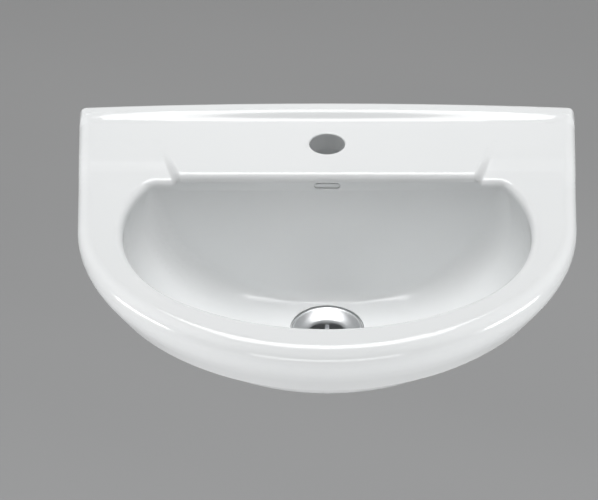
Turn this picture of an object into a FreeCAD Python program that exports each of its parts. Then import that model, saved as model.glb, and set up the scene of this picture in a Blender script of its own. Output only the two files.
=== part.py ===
import FreeCAD, Part
import math
import os
import Sketcher

# A ceramic wash basin of the pedestal type, hung on a wall, with its slotted waste and its fixings.
# Millimetres. X runs to the right, Y points into the wall (wall face at Y = 0), Z is up, and the
# origin lies on the wall face, midway between the two fixing holes. The basin and the waste are
# drawn from the flat rim downwards, so their bodies are lifted by rim_height.

doc = FreeCAD.newDocument("WashBasin")

dims = {
    # outline of the rim from above, symmetrical about X = 0
    "rim_height": 95,
    "overall_width": 500,
    "side_set_in": 199.4,
    "side_centre_y": 172.5,
    "side_radius": 190.4,
    "overall_depth": 385,
    # apron and flanks that turn down from the rim
    "skin_top": 18,
    "wall_trim": 4,
    "trim_margin": 10,
    "apron_start": 14,
    "apron_lead": 3,
    "apron_lead_inset": 0.15,
    "apron_height": 66,
    "apron_inset": 26,
    "flank_height": 150,
    "flank_inset": 68,
    "rim_thickness": 11,
    "skin_wall": 9,
    "back_panel": 12,
    "flank_foot": 45,
    "flank_rise_end": 230,
    "arris_radius": 13,
    # raised tap deck and the crowned upstand along the wall
    "deck_rise": 8,
    "ramp_start": 132,
    "ramp_end": 62,
    "deck_corner_margin": 104,
    "deck_front_y": 124,
    "deck_front_foot": 0.7,
    "deck_front_lean": 3.2,
    "deck_splay_margin": 83,
    "upstand_depth": 17,
    "upstand_rise": 7,
    "upstand_end_rise": 1,
    "tap_centre_y": 66,
    "tap_hole_diameter": 35,
    # bowl
    "bowl_depth": 127,
    "mouth_depth": 10,
    "bowl_side_margin": 54,
    "bowl_side_radius": 131,
    "bowl_centre_y": 195,
    "bowl_front_margin": 40,
    "bowl_back": 121,
    "bowl_back_slope": 0.17,
    "bowl_corner_radius": 12,
    "bowl_corner_growth": 34,
    "bowl_corner_closing": 18,
    "bowl_wall": 8.5,
    "lip_radius": 8,
    "floor_half_width": 50,
    "floor_side_radius": 44,
    "floor_front": 48,
    "floor_round": 10,
    # outlet in the floor of the bowl
    "drain_y": 190,
    "waste_hole_diameter": 46,
    "seat_diameter": 73,
    "seat_depth": 2.6,
    "boss_diameter": 78,
    "boss_bottom": 156,
    # overflow duct behind the bowl
    "overflow_width": 25,
    "overflow_height": 6,
    "overflow_drop": 4,
    "duct_width": 46,
    "duct_bore_width": 28,
    "duct_bore": 8.5,
    "duct_wall": 7,
    # pedestal seat, webs and wall fixing holes
    "seat_ring_radius": 80,
    "seat_ring_bottom": 139,
    "seat_ring_wall": 9,
    "seat_ring_legs": 28,
    "web_x": 100,
    "web_wall": 9,
    "fixing_spacing": 280,
    "fixing_hole_diameter": 24,
    "arch_half_width": 84,
    "arch_top": 62,
    # slotted waste
    "flange_diameter": 70,
    "flange_edge": 2,
    "dish_drop": 7,
    "waste_bore_diameter": 33,
    "tail_diameter": 41.9,
    "tail_bottom": 195,
    "tail_relief_height": 2,
    "tail_relief_depth": 1,
    "bar_width": 3.2,
    "bar_depth": 4,
    "bar_drop": 2.5,
    "tail_slot_width": 18,
    "tail_slot_height": 8,
    "top_seal_thickness": 1.4,
    "lower_seal_thickness": 5,
    "friction_washer_thickness": 1.5,
    "backnut_height": 11,
    "backnut_flats": 55,
    "tail_clearance": 0.4,
    # wall fixings
    "bolt_diameter": 10,
    "bolt_reach": 38,
    "bolt_grip": 72,
    "plug_diameter": 14,
    "plug_length": 70,
    "plug_collar_diameter": 17,
    "plug_collar_thickness": 1,
    "bush_collar_diameter": 36,
    "bush_collar_thickness": 3,
    "bush_sleeve_length": 10,
    "washer_diameter": 30,
    "washer_thickness": 2.5,
    "nut_flats": 17,
    "nut_height": 8.4,
    "fixing_clearance": 0.3,
}

sheet = doc.addObject("Spreadsheet::Sheet", "Dims")
for row, (alias, value) in enumerate(dims.items(), 1):
    sheet.set(f"A{row}", alias)
    sheet.set(f"B{row}", str(value))
    sheet.setAlias(f"B{row}", alias)
doc.recompute()

parts = []


def worthOf(expression):
    """The present value of an expression in the sheet's names."""
    return float(sheet.evalExpression(expression.replace("Dims.", "")))


def tie(owner, path, expression):
    """Binds a property or a constraint to the sheet."""
    owner.setExpression(path, expression)


def newBody(label, base=("0", "0", "0")):
    body = doc.addObject("PartDesign::Body", label)
    body.Label = label
    for axis, expression in zip("xyz", base):
        tie(body, f"Placement.Base.{axis}", expression)
    parts.append(body)
    return body


def newSketch(body, name, role, offset="0"):
    """A sketch on one of the body's own origin planes, moved along that plane's normal."""
    sketch = body.newObject("Sketcher::SketchObject", f"{body.Label}_{name}")
    plane = [item for item in body.Origin.OriginFeatures if item.Role == role]
    sketch.AttachmentSupport = [(plane[0], "")]
    sketch.MapMode = "FlatFace"
    tie(sketch, "AttachmentOffset.Base.z", offset)
    return sketch


def dimension(sketch, kind, ends, expression):
    """Adds a driving constraint whose value follows the sheet."""
    index = sketch.addConstraint(Sketcher.Constraint(kind, *ends, worthOf(expression)))
    tie(sketch, f"Constraints[{index}]", expression)


def pin(sketch, geometry, point, x, y):
    """Places one point of the sketch at (x, y), both given as expressions."""
    for axis, kind, expression in ((-2, "DistanceX", x), (-1, "DistanceY", y)):
        if expression == "0":
            sketch.addConstraint(Sketcher.Constraint("PointOnObject", geometry, point, axis))
        else:
            dimension(sketch, kind, (-1, 1, geometry, point), expression)


def vector(x, y):
    return FreeCAD.Vector(x, y, 0)


def polygon(sketch, corners):
    """A closed outline of straight runs through corners given as pairs of expressions."""
    places = [vector(worthOf(x), worthOf(y)) for x, y in corners]
    count = len(places)
    for index, place in enumerate(places):
        sketch.addGeometry(Part.LineSegment(place, places[(index + 1) % count]), False)
    for index, (x, y) in enumerate(corners):
        sketch.addConstraint(Sketcher.Constraint("Coincident", index, 2, (index + 1) % count, 1))
        pin(sketch, index, 1, x, y)


def arc(centre, radius, start, end):
    circle = Part.Circle(centre, FreeCAD.Vector(0, 0, 1), radius)
    return Part.ArcOfCircle(circle, start, end)


def bowSection(sketch, back, width, radius, centre, front, corner):
    """A D shape: straight back, two corner arcs, two side arcs and one front arc, all tangent."""
    w, r1, yc, yf, yb, rc = [worthOf(item) for item in (width, radius, centre, front, back, corner)]
    sideX = w - r1
    reach = yc - yf
    frontRadius = (sideX**2 + reach**2 - r1**2) / (2 * (reach - r1))
    cornerY = yb - rc
    cornerX = sideX + math.sqrt((r1 - rc) ** 2 - (cornerY - yc) ** 2)
    upper = math.atan2(cornerY - yc, cornerX - sideX)
    lower = math.atan2(yc - yf - frontRadius, sideX)
    half = math.pi / 2
    pieces = [
        Part.LineSegment(vector(-cornerX, yb), vector(cornerX, yb)),
        arc(vector(cornerX, cornerY), rc, upper, half),
        arc(vector(sideX, yc), r1, lower, upper),
        arc(vector(0, yf + frontRadius), frontRadius, -math.pi - lower, lower),
        arc(vector(-sideX, yc), r1, math.pi - upper, math.pi - lower),
        arc(vector(-cornerX, cornerY), rc, half, math.pi - upper),
    ]
    for piece in pieces:
        sketch.addGeometry(piece, False)
    joints = ((0, 2, 1, 2), (1, 1, 2, 2), (2, 1, 3, 2), (3, 1, 4, 2), (4, 1, 5, 2), (5, 1, 0, 1))
    for ends in joints:
        sketch.addConstraint(Sketcher.Constraint("Tangent", *ends))
    sketch.addConstraint(Sketcher.Constraint("Symmetric", 0, 1, 0, 2, -2))
    sketch.addConstraint(Sketcher.Constraint("PointOnObject", 3, 3, -2))
    sketch.addConstraint(Sketcher.Constraint("Equal", 1, 5))
    sketch.addConstraint(Sketcher.Constraint("Equal", 2, 4))
    a = f"(({width}) - ({radius}))"
    b = f"(({centre}) - ({front}))"
    dimension(sketch, "DistanceY", (-1, 1, 0, 1), back)
    dimension(sketch, "Radius", (1,), corner)
    dimension(sketch, "Radius", (2,), radius)
    dimension(sketch, "DistanceX", (-1, 1, 2, 3), a)
    dimension(sketch, "DistanceY", (-1, 1, 2, 3), centre)
    dimension(sketch, "Radius", (3,), f"({a}^2 + {b}^2 - ({radius})^2) / (2 * ({b} - ({radius})))")


halfWidth = "(Dims.overall_width / 2)"
sideCentre = "(Dims.overall_width / 2 - Dims.side_set_in)"


def rimSection(sketch, inset, back):
    """The basin's outline inset by some distance: straight back and sides, side arcs, front arc."""
    gap, yb = worthOf(inset), worthOf(back)
    cx, yc, w0 = worthOf(sideCentre), -worthOf("Dims.side_centre_y"), worthOf(halfWidth) - gap
    r1 = worthOf("Dims.side_radius") - gap
    reach = worthOf("Dims.overall_depth") - gap + yc
    frontRadius = (cx**2 + reach**2 - r1**2) / (2 * (reach - r1))
    run, rise = w0 - cx, yb - yc
    turn = math.atan2(rise, run) - math.acos(r1 / math.hypot(run, rise))
    lower = math.atan2(reach - frontRadius, cx)
    touch = vector(cx + r1 * math.cos(turn), yc + r1 * math.sin(turn))
    mirrored = vector(-touch.x, touch.y)
    pieces = [
        Part.LineSegment(vector(-w0, yb), vector(w0, yb)),
        Part.LineSegment(vector(w0, yb), touch),
        arc(vector(cx, yc), r1, lower, turn),
        arc(vector(0, yc - reach + frontRadius), frontRadius, -math.pi - lower, lower),
        arc(vector(-cx, yc), r1, math.pi - turn, math.pi - lower),
        Part.LineSegment(mirrored, vector(-w0, yb)),
    ]
    for piece in pieces:
        sketch.addGeometry(piece, False)
    for ends in ((0, 2, 1, 1), (5, 2, 0, 1)):
        sketch.addConstraint(Sketcher.Constraint("Coincident", *ends))
    for ends in ((1, 2, 2, 2), (2, 1, 3, 2), (3, 1, 4, 2), (4, 1, 5, 1)):
        sketch.addConstraint(Sketcher.Constraint("Tangent", *ends))
    sketch.addConstraint(Sketcher.Constraint("Symmetric", 0, 1, 0, 2, -2))
    sketch.addConstraint(Sketcher.Constraint("PointOnObject", 3, 3, -2))
    sketch.addConstraint(Sketcher.Constraint("Equal", 2, 4))
    sketch.addConstraint(Sketcher.Constraint("Horizontal", 2, 3, 4, 3))
    radius = f"(Dims.side_radius - ({inset}))"
    b = f"(Dims.overall_depth - ({inset}) - Dims.side_centre_y)"
    dimension(sketch, "DistanceX", (-1, 1, 0, 2), f"{halfWidth} - ({inset})")
    dimension(sketch, "DistanceY", (-1, 1, 0, 2), back)
    dimension(sketch, "Radius", (2,), radius)
    dimension(sketch, "DistanceX", (-1, 1, 2, 3), sideCentre)
    dimension(sketch, "DistanceY", (-1, 1, 2, 3), "-Dims.side_centre_y")
    dimension(sketch, "Radius", (3,), f"({sideCentre}^2 + {b}^2 - {radius}^2) / (2 * ({b} - {radius}))")


def loft(body, kind, name, sections, ruled=False):
    feature = body.newObject(f"PartDesign::{kind}Loft", name)
    feature.Profile = sections[0]
    feature.Sections = sections[1:]
    feature.Ruled = ruled
    return feature


def prism(body, kind, name, sketch, length, side="Symmetric"):
    """A pad or a pocket of a sketch; a symmetric one runs half its length to each side."""
    feature = body.newObject(f"PartDesign::{kind}", name)
    feature.Profile = sketch
    feature.SideType = side
    tie(feature, "Length", length)
    return feature


def skinLevels():
    """Levels of the outer skin below its upright band, each with its inset from the rim's outline."""
    middle = "((Dims.apron_start + Dims.apron_height) / 2)"
    return [
        ("-Dims.apron_start", "0"),
        ("-Dims.apron_start - Dims.apron_lead", "Dims.apron_lead_inset"),
        (f"-{middle}", "Dims.apron_inset * 0.5^1.5"),
        ("-Dims.apron_height", "Dims.apron_inset"),
        ("-(Dims.apron_height + Dims.flank_height) / 2", "(Dims.apron_inset + Dims.flank_inset) / 2 + 1"),
        ("-Dims.flank_height", "Dims.flank_inset"),
    ]


def skinBand(body):
    """The upright band of the skin, from the top of the upstand to the start of the apron."""
    sketch = newSketch(body, "band", "XY_Plane", "-Dims.apron_start")
    rimSection(sketch, "0", "Dims.wall_trim")
    return prism(body, "Pad", "SkinBand", sketch, "Dims.apron_start + Dims.skin_top", "One side")


def skin(body):
    sections = []
    for index, (level, inset) in enumerate(skinLevels()):
        sketch = newSketch(body, f"skin{index}", "XY_Plane", level)
        rimSection(sketch, inset, "Dims.wall_trim")
        sections.append(sketch)
    return loft(body, "Additive", "Skin", sections)


def wallFace(body):
    """Trims the back flat where it bears on the wall."""
    sketch = newSketch(body, "wall", "YZ_Plane")
    low, high, far = "-Dims.flank_height - 5", "Dims.skin_top + 5", "Dims.wall_trim + 5"
    polygon(sketch, [("0", low), (far, low), (far, high), ("0", high)])
    return prism(body, "Pocket", "WallFace", sketch, acrossAll)


def underside(body):
    """Hollows the skin from below, leaving the rim, the flanks and the panel along the wall."""
    sections = []
    levels = skinLevels()[2:]
    levels[0] = ("-Dims.rim_thickness", "0")
    levels[-1] = ("-Dims.flank_height - 1", "Dims.flank_inset")
    for index, (level, inset) in enumerate(levels):
        sketch = newSketch(body, f"under{index}", "XY_Plane", level)
        rimSection(sketch, f"{inset} + Dims.skin_wall", "-Dims.back_panel")
        sections.append(sketch)
    return loft(body, "Subtractive", "Underside", sections, True)


bowlLevels = (0, 0.3, 0.55, 0.76, 0.9, 0.975, 1)
bowlHalfWidth = "(Dims.overall_width / 2 - Dims.bowl_side_margin)"
bowlFront = "(Dims.overall_depth - Dims.bowl_front_margin)"


def bowlSketch(body, name, level, wall):
    """One level of the bowl below its mouth, as a share of its depth, grown outwards by a wall."""
    depth = f"Dims.mouth_depth + (Dims.bowl_depth + {wall} - Dims.mouth_depth) * {level}"
    ease = f"sqrt(1 - {level}^2)"
    back = f"Dims.bowl_back + Dims.bowl_back_slope * (Dims.bowl_depth - Dims.mouth_depth) * {level}"
    back += f" + Dims.floor_round * (1 - sqrt(1 - {level}^8)) - {wall}"
    width = f"Dims.floor_half_width + ({bowlHalfWidth} - Dims.floor_half_width) * {ease} + {wall}"
    radius = f"Dims.floor_side_radius + (Dims.bowl_side_radius - Dims.floor_side_radius) * {ease} + {wall}"
    foot = "(Dims.drain_y + Dims.floor_front)"
    front = f"{foot} + ({bowlFront} - {foot}) * {ease} + {wall}"
    centre = f"Dims.drain_y + (Dims.bowl_centre_y - Dims.drain_y) * {ease}"
    corner = f"Dims.bowl_corner_radius + Dims.bowl_corner_growth * sqrt({level})"
    corner += f" - Dims.bowl_corner_closing * {level}^8 + {wall}"
    sketch = newSketch(body, name, "XY_Plane", f"-({depth})")
    bowSection(sketch, f"-({back})", width, radius, f"-({centre})", f"-({front})", corner)
    return sketch


def bowlShell(body):
    levels = (0, 0.3, 0.55, 0.76, 0.9, 1)
    sections = [bowlSketch(body, f"shell{n}", level, "Dims.bowl_wall") for n, level in enumerate(levels)]
    return loft(body, "Additive", "BowlShell", sections, True)


def bowlMouth(body):
    """The upright mouth of the bowl, cut through the rim and the deck's front."""
    sketch = bowlSketch(body, "mouth", 0, "0")
    feature = prism(body, "Pocket", "BowlMouth", sketch, "Dims.mouth_depth + Dims.skin_top + 5", "One side")
    feature.Reversed = True
    return feature


def bowlHollow(body):
    sections = [bowlSketch(body, f"bowl{n}", level, "0") for n, level in enumerate(bowlLevels)]
    return loft(body, "Subtractive", "BowlHollow", sections)


def easedOutline(sketch, start, first, second, end, close, endTop):
    """A closed outline in the YZ plane whose lower or upper bound is level, eases through two equal
    arcs to another level, and is level again: start, first and second are (y, z), end is y."""
    y1, z1, y2, z2 = [worthOf(item) for item in (*first, *second)]
    y0, y3, y4, zc = [worthOf(item) for item in (start, end, endTop, close)]
    run, rise = y2 - y1, z2 - z1
    radius = (run**2 + rise**2) / (4 * abs(rise))
    turn = math.asin(run / 2 / radius)
    half = math.pi / 2
    rising = rise > 0
    if rising:
        near = arc(vector(y1, z1 + radius), radius, -half, -half + turn)
        far = arc(vector(y2, z2 - radius), radius, half, half + turn)
    else:
        near = arc(vector(y1, z1 - radius), radius, half - turn, half)
        far = arc(vector(y2, z2 + radius), radius, -half - turn, -half)
    pieces = [
        Part.LineSegment(vector(y0, z1), vector(y1, z1)),
        near,
        far,
        Part.LineSegment(vector(y2, z2), vector(y3, z2)),
        Part.LineSegment(vector(y3, z2), vector(y4, zc)),
        Part.LineSegment(vector(y4, zc), vector(y0, zc)),
        Part.LineSegment(vector(y0, zc), vector(y0, z1)),
    ]
    for piece in pieces:
        sketch.addGeometry(piece, False)
    nearStart, nearEnd = (1, 2) if rising else (2, 1)
    farStart, farEnd = (2, 1) if rising else (1, 2)
    for ends in ((0, 2, 1, nearStart), (1, nearEnd, 2, farStart), (2, farEnd, 3, 1)):
        sketch.addConstraint(Sketcher.Constraint("Tangent", *ends))
    for index in (3, 4, 5):
        sketch.addConstraint(Sketcher.Constraint("Coincident", index, 2, index + 1, 1))
    sketch.addConstraint(Sketcher.Constraint("Coincident", 6, 2, 0, 1))
    for index in (0, 3, 5):
        sketch.addConstraint(Sketcher.Constraint("Horizontal", index))
    sketch.addConstraint(Sketcher.Constraint("Vertical", 6))
    sketch.addConstraint(Sketcher.Constraint("Equal", 1, 2))
    pin(sketch, 0, 2, *first)
    pin(sketch, 3, 1, *second)
    dimension(sketch, "DistanceX", (-1, 1, 6, 2), start)
    if end == "0":
        sketch.addConstraint(Sketcher.Constraint("PointOnObject", 4, 1, -2))
    else:
        dimension(sketch, "DistanceX", (-1, 1, 4, 1), end)
    pin(sketch, 4, 2, endTop, close)


acrossAll = "Dims.overall_width + 4 * Dims.trim_margin"
pastFront = "-Dims.overall_depth - 2 * Dims.trim_margin"
beyondSide = "(Dims.overall_width / 2 + Dims.trim_margin)"


def deckTop(body):
    """Cuts the top down to the flat rim in front and the raised deck behind, short of the upstand."""
    sketch = newSketch(body, "top", "YZ_Plane")
    easedOutline(
        sketch,
        pastFront,
        ("-Dims.ramp_start", "0"),
        ("-Dims.ramp_end", "Dims.deck_rise"),
        "-Dims.upstand_depth",
        "Dims.skin_top + 5",
        "-Dims.upstand_depth + Dims.skin_top + 5 - Dims.deck_rise",
    )
    return prism(body, "Pocket", "DeckTop", sketch, acrossAll)


def upstandCrown(body):
    """Crowns the strip along the wall, highest in the middle."""
    sketch = newSketch(body, "crown", "XZ_Plane")
    edge = worthOf(beyondSide)
    low, top = worthOf("Dims.deck_rise + Dims.upstand_end_rise"), worthOf("Dims.skin_top + 5")
    sag = worthOf("Dims.upstand_rise - Dims.upstand_end_rise")
    radius = (edge**2 + sag**2) / (2 * sag)
    turn = math.acos(edge / radius)
    sketch.addGeometry(arc(vector(0, low + sag - radius), radius, turn, math.pi - turn), False)
    sketch.addGeometry(Part.LineSegment(vector(edge, low), vector(edge, top)), False)
    sketch.addGeometry(Part.LineSegment(vector(edge, top), vector(-edge, top)), False)
    sketch.addGeometry(Part.LineSegment(vector(-edge, top), vector(-edge, low)), False)
    for ends in ((0, 1, 1, 1), (1, 2, 2, 1), (2, 2, 3, 1), (3, 2, 0, 2)):
        sketch.addConstraint(Sketcher.Constraint("Coincident", *ends))
    sketch.addConstraint(Sketcher.Constraint("Vertical", 1))
    sketch.addConstraint(Sketcher.Constraint("Vertical", 3))
    sketch.addConstraint(Sketcher.Constraint("Symmetric", 1, 1, 3, 2, -2))
    pin(sketch, 1, 1, beyondSide, "Dims.deck_rise + Dims.upstand_end_rise")
    dimension(sketch, "DistanceY", (-1, 1, 1, 2), "Dims.skin_top + 5")
    sag = "(Dims.upstand_rise - Dims.upstand_end_rise)"
    dimension(sketch, "Radius", (0,), f"({beyondSide}^2 + {sag}^2) / (2 * {sag})")
    sketch.addConstraint(Sketcher.Constraint("Horizontal", 2))
    return prism(body, "Pocket", "UpstandCrown", sketch, "3 * Dims.upstand_depth + 20")


def flankEdge(body):
    """Trims the bottom of the skin: shallow round the front, deep beside the wall."""
    sketch = newSketch(body, "flank", "YZ_Plane")
    easedOutline(
        sketch,
        pastFront,
        ("-Dims.flank_rise_end", "-Dims.apron_height"),
        ("-Dims.flank_foot", "-Dims.flank_height"),
        "0",
        "-Dims.flank_height - 5",
        "5",
    )
    return prism(body, "Pocket", "FlankEdge", sketch, acrossAll)


def deckStep(body):
    """Carries the deck forward to the bowl between two splayed sides."""
    corner = "(Dims.overall_width / 2 - Dims.deck_corner_margin)"
    splay = "(Dims.overall_width / 2 - Dims.deck_splay_margin)"
    sketch = newSketch(body, "deck", "XY_Plane", "-2")
    polygon(sketch, [
        (f"-{corner}", "-Dims.deck_front_y"),
        (corner, "-Dims.deck_front_y"),
        (splay, "-Dims.ramp_end"),
        (f"-{splay}", "-Dims.ramp_end"),
    ])
    return prism(body, "Pad", "DeckStep", sketch, "Dims.deck_rise + 2", "One side")


def deckFront(body):
    """Leans the front of the deck back from the bowl's mouth."""
    sketch = newSketch(body, "deck_front", "YZ_Plane")
    foot, top = "Dims.deck_front_foot", "Dims.deck_rise + Dims.deck_front_foot"
    clear = "-Dims.deck_front_y - Dims.trim_margin"
    polygon(sketch, [
        ("-Dims.bowl_back", foot),
        ("-Dims.bowl_back + Dims.deck_front_lean", top),
        (clear, top),
        (clear, foot),
    ])
    width = "Dims.overall_width - 2 * Dims.deck_corner_margin + Dims.trim_margin"
    return prism(body, "Pocket", "DeckFront", sketch, width)


def circle(sketch, x, y, diameter):
    index = sketch.addGeometry(Part.Circle(vector(worthOf(x), worthOf(y)), FreeCAD.Vector(0, 0, 1),
                                           worthOf(diameter) / 2), False)
    dimension(sketch, "Diameter", (index,), diameter)
    pin(sketch, index, 3, x, y)


def boss(body):
    sketch = newSketch(body, "boss", "XY_Plane", "-Dims.boss_bottom")
    circle(sketch, "0", "-Dims.drain_y", "Dims.boss_diameter")
    return prism(body, "Pad", "Boss", sketch, "Dims.boss_bottom - Dims.bowl_depth + 2", "One side")


def pedestalSeat(body):
    """A horseshoe under the bowl on which a pedestal would bear, open towards the wall."""
    sketch = newSketch(body, "seat", "XY_Plane", "-Dims.seat_ring_bottom")
    outer = worthOf("Dims.seat_ring_radius")
    inner = outer - worthOf("Dims.seat_ring_wall")
    y = -worthOf("Dims.drain_y")
    top = y + worthOf("Dims.seat_ring_legs")
    centre = vector(0, y)
    pieces = [
        arc(centre, outer, math.pi, 2 * math.pi),
        Part.LineSegment(vector(outer, y), vector(outer, top)),
        Part.LineSegment(vector(outer, top), vector(inner, top)),
        Part.LineSegment(vector(inner, top), vector(inner, y)),
        arc(centre, inner, math.pi, 2 * math.pi),
        Part.LineSegment(vector(-inner, y), vector(-inner, top)),
        Part.LineSegment(vector(-inner, top), vector(-outer, top)),
        Part.LineSegment(vector(-outer, top), vector(-outer, y)),
    ]
    for piece in pieces:
        sketch.addGeometry(piece, False)
    for ends in ((0, 2, 1, 1), (3, 2, 4, 2), (4, 1, 5, 1), (7, 2, 0, 1)):
        sketch.addConstraint(Sketcher.Constraint("Tangent", *ends))
    for ends in ((1, 2, 2, 1), (2, 2, 3, 1), (5, 2, 6, 1), (6, 2, 7, 1)):
        sketch.addConstraint(Sketcher.Constraint("Coincident", *ends))
    for index in (1, 3, 5, 7):
        sketch.addConstraint(Sketcher.Constraint("Vertical", index))
    for index in (2, 6):
        sketch.addConstraint(Sketcher.Constraint("Horizontal", index))
    pin(sketch, 0, 3, "0", "-Dims.drain_y")
    sketch.addConstraint(Sketcher.Constraint("Coincident", 0, 3, 4, 3))
    dimension(sketch, "Radius", (0,), "Dims.seat_ring_radius")
    dimension(sketch, "Radius", (4,), "Dims.seat_ring_radius - Dims.seat_ring_wall")
    dimension(sketch, "DistanceY", (-1, 1, 1, 2), "-Dims.drain_y + Dims.seat_ring_legs")
    dimension(sketch, "DistanceY", (-1, 1, 5, 2), "-Dims.drain_y + Dims.seat_ring_legs")
    height = "Dims.seat_ring_bottom - Dims.bowl_depth + 5"
    return prism(body, "Pad", "PedestalSeat", sketch, height, "One side")


def backFace(drop, behind):
    """Y of a line that lies some distance behind the bowl's back wall, at a depth below the rim."""
    return f"-Dims.bowl_back - Dims.bowl_back_slope * ({drop} - Dims.mouth_depth) + {behind}"


ductDepth = "(Dims.bowl_depth - 7)"


def duct(body):
    """The rib behind the bowl that carries the overflow down to the boss."""
    sketch = newSketch(body, "duct", "YZ_Plane")
    behind = "Dims.bowl_wall + Dims.duct_bore + Dims.duct_wall"
    polygon(sketch, [
        (backFace("Dims.overflow_drop", "1"), "-Dims.overflow_drop"),
        (backFace("Dims.overflow_drop", behind), "-Dims.overflow_drop"),
        (backFace(ductDepth, behind), f"-{ductDepth}"),
        ("-Dims.drain_y + Dims.boss_diameter / 2 + 5", "-Dims.boss_bottom"),
        ("-Dims.drain_y + Dims.boss_diameter / 2 - 10", "-Dims.boss_bottom"),
        ("-Dims.drain_y + Dims.boss_diameter / 2 - 10", "-Dims.bowl_depth - 3"),
        (backFace(ductDepth, "1"), f"-{ductDepth} + 10"),
    ])
    return prism(body, "Pad", "Duct", sketch, "Dims.duct_width")


def webs(body, side):
    """An upright web from the wall panel to the back of the bowl, beside a fixing hole."""
    name = "right" if side > 0 else "left"
    sketch = newSketch(body, f"{name}_web", "YZ_Plane", f"{side} * Dims.web_x")
    polygon(sketch, [
        ("-Dims.back_panel + 2", "-Dims.rim_thickness + 2"),
        ("-Dims.back_panel + 2", "-Dims.flank_height + 30"),
        (backFace("70", "3"), "-70"),
        (backFace("Dims.rim_thickness", "3"), "-Dims.rim_thickness + 2"),
    ])
    return prism(body, "Pad", f"{name}Web", sketch, "Dims.web_wall")


def outlet(body):
    """The conical seat and the waste hole, turned about the drain's axis."""
    sketch = newSketch(body, "outlet", "XZ_Plane", "Dims.drain_y")
    polygon(sketch, [
        ("0", "-Dims.bowl_depth + 6"),
        ("Dims.seat_diameter / 2", "-Dims.bowl_depth + 6"),
        ("Dims.seat_diameter / 2", "-Dims.bowl_depth - Dims.seat_depth"),
        ("Dims.waste_hole_diameter / 2", "-Dims.bowl_depth - Dims.seat_depth - Dims.dish_drop"),
        ("Dims.waste_hole_diameter / 2", "-Dims.boss_bottom - 10"),
        ("0", "-Dims.boss_bottom - 10"),
    ])
    groove = body.newObject("PartDesign::Groove", "Outlet")
    groove.Profile = sketch
    groove.ReferenceAxis = (sketch, ["V_Axis"])
    groove.Angle = 360
    return groove


def ductBore(body):
    sketch = newSketch(body, "duct_bore", "YZ_Plane")
    behind = "Dims.bowl_wall + Dims.duct_bore"
    low = "-Dims.boss_bottom + Dims.duct_wall"
    high = "-Dims.boss_bottom + Dims.duct_wall + Dims.tail_slot_height"
    polygon(sketch, [
        (backFace("0", "Dims.bowl_wall"), "0"),
        (backFace("0", behind), "0"),
        (backFace(ductDepth, behind), f"-{ductDepth}"),
        ("-Dims.drain_y + Dims.boss_diameter / 2", low),
        ("-Dims.drain_y + Dims.waste_hole_diameter / 4", low),
        ("-Dims.drain_y + Dims.waste_hole_diameter / 4", high),
        ("-Dims.drain_y + Dims.boss_diameter / 2 - 3", high),
        (backFace(ductDepth, "Dims.bowl_wall"), f"-{ductDepth}"),
    ])
    return prism(body, "Pocket", "DuctBore", sketch, "Dims.duct_bore_width")


def slotOutline(sketch, width, height, level):
    """A slot with round ends, lying along X and centred on X = 0."""
    w, r, z = worthOf(width) / 2, worthOf(height) / 2, worthOf(level)
    x = w - r
    half = math.pi / 2
    pieces = [
        Part.LineSegment(vector(-x, z + r), vector(x, z + r)),
        arc(vector(x, z), r, -half, half),
        Part.LineSegment(vector(x, z - r), vector(-x, z - r)),
        arc(vector(-x, z), r, half, 3 * half),
    ]
    for piece in pieces:
        sketch.addGeometry(piece, False)
    for ends in ((0, 2, 1, 2), (1, 1, 2, 1), (2, 2, 3, 2), (3, 1, 0, 1)):
        sketch.addConstraint(Sketcher.Constraint("Tangent", *ends))
    sketch.addConstraint(Sketcher.Constraint("Symmetric", 1, 3, 3, 3, -2))
    dimension(sketch, "Radius", (1,), f"{height} / 2")
    pin(sketch, 1, 3, f"({width} - {height}) / 2", level)


def overflowSlot(body):
    sketch = newSketch(body, "overflow", "XZ_Plane", "Dims.bowl_back")
    slotOutline(sketch, "Dims.overflow_width", "Dims.overflow_height", "-Dims.overflow_drop")
    return prism(body, "Pocket", "OverflowSlot", sketch, "2 * Dims.bowl_wall + 4")


def tapHole(body):
    sketch = newSketch(body, "tap", "XY_Plane")
    circle(sketch, "0", "-Dims.tap_centre_y", "Dims.tap_hole_diameter")
    return prism(body, "Pocket", "TapHole", sketch, "4 * (Dims.deck_rise + Dims.rim_thickness)")


def fixingHoles(body):
    sketch = newSketch(body, "fixings", "XZ_Plane")
    for side in ("-", ""):
        circle(sketch, f"{side}Dims.fixing_spacing / 2", "-Dims.rim_height", "Dims.fixing_hole_diameter")
    return prism(body, "Pocket", "FixingHoles", sketch, "4 * Dims.back_panel")


def pipeArch(body):
    """The opening in the wall panel for the waste pipe and the supplies."""
    sketch = newSketch(body, "arch", "XZ_Plane")
    bevel = "Dims.arch_half_width / 4"
    polygon(sketch, [
        ("-Dims.arch_half_width", "-Dims.flank_height - 10"),
        ("-Dims.arch_half_width", f"-Dims.arch_top - {bevel}"),
        (f"-Dims.arch_half_width + {bevel}", "-Dims.arch_top"),
        (f"Dims.arch_half_width - {bevel}", "-Dims.arch_top"),
        ("Dims.arch_half_width", f"-Dims.arch_top - {bevel}"),
        ("Dims.arch_half_width", "-Dims.flank_height - 10"),
    ])
    return prism(body, "Pocket", "PipeArch", sketch, "3 * Dims.back_panel")


def rightWeb(body):
    return webs(body, 1)


def leftWeb(body):
    return webs(body, -1)


def middle(edge):
    first, last = edge.ParameterRange
    return edge.valueAt((first + last) / 2)


def touches(point, faces):
    return any(Part.Vertex(point).distToShape(face)[0] < 0.02 for face in faces)


def sides(feature):
    """The faces of what a feature added or cut, apart from its level ends."""
    return [face for face in feature.AddSubShape.Faces if abs(face.normalAt(0, 0).z) < 0.99]


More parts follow.
